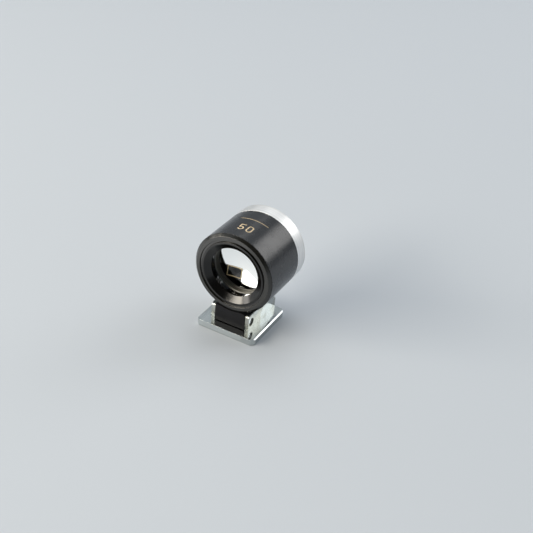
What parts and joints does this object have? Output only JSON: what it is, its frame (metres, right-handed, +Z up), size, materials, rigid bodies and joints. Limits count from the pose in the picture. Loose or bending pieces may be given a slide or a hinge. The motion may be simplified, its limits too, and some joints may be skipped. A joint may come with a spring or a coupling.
{
  "type": "accessory viewfinder",
  "caption": "Round black optical viewfinder with a satin chrome rear ring, hinged on a chrome accessory-shoe foot so that it tilts for parallax.",
  "frame": {"origin": "on the shoe surface, under the centre of the object's box: the foot plate's underside is z = 0 and the optical axis is above x = 0", "axes": "+Z up, -Y along the optical axis to the front lens, +Y to the eyepiece, +X to the right as seen from the front"},
  "size_m": [0.024, 0.0222, 0.031],
  "materials": {
    "black_anodised": "satin black anodised, fine turning marks",
    "black_gloss": "semi-gloss black anodised",
    "black_matte": "matt black, anti-reflection",
    "satin_chrome": "satin chrome",
    "polished_chrome": "polished chrome plate",
    "steel": "plain turned steel",
    "spring_steel": "drawn wire",
    "washer_bronze": "rolled bronze",
    "lens_glass": "polished, clear",
    "mirror_film": "vacuum-coated mirror film",
    "gold_line": "gold line on glass",
    "gold_paint": "gold paint in engraving"
  },
  "bodies": {
    "foot": {"foot_plate": "polished_chrome", "ear_bracket": "polished_chrome", "bracket_screws": "steel", "pivot_pin": "steel", "pivot_washers": "washer_bronze"},
    "finder": {"barrel_shell": "black_anodised", "front_bezel": "black_anodised", "cone_ring": "black_gloss", "ridged_tube": "black_matte", "objective_lens": "lens_glass", "mirror_film": "mirror_film", "frame_line": "gold_line", "lens_cell": "black_matte", "spacer_tube": "black_matte", "field_mask": "black_matte", "rear_ring": "satin_chrome", "eyepiece_cell": "black_gloss", "eyepiece_lens": "lens_glass", "eyepiece_ring": "black_gloss", "ring_set_screw": "steel", "figure_inlay": "gold_paint", "line_inlay": "gold_paint", "stem_block": "black_anodised", "stem_screws": "steel", "heel_screw": "steel", "return_spring": "spring_steel"}
  },
  "joints": [
    {"name": "parallax_tilt", "type": "hinge", "parent": "foot", "child": "finder", "pos_m": [0, -0.00683, 0.0045], "axis": [1, 0, 0], "range_deg": [0, 3.5], "stiffness_Nm_per_rad": 0.004, "springref_deg": -11.46}
  ]
}
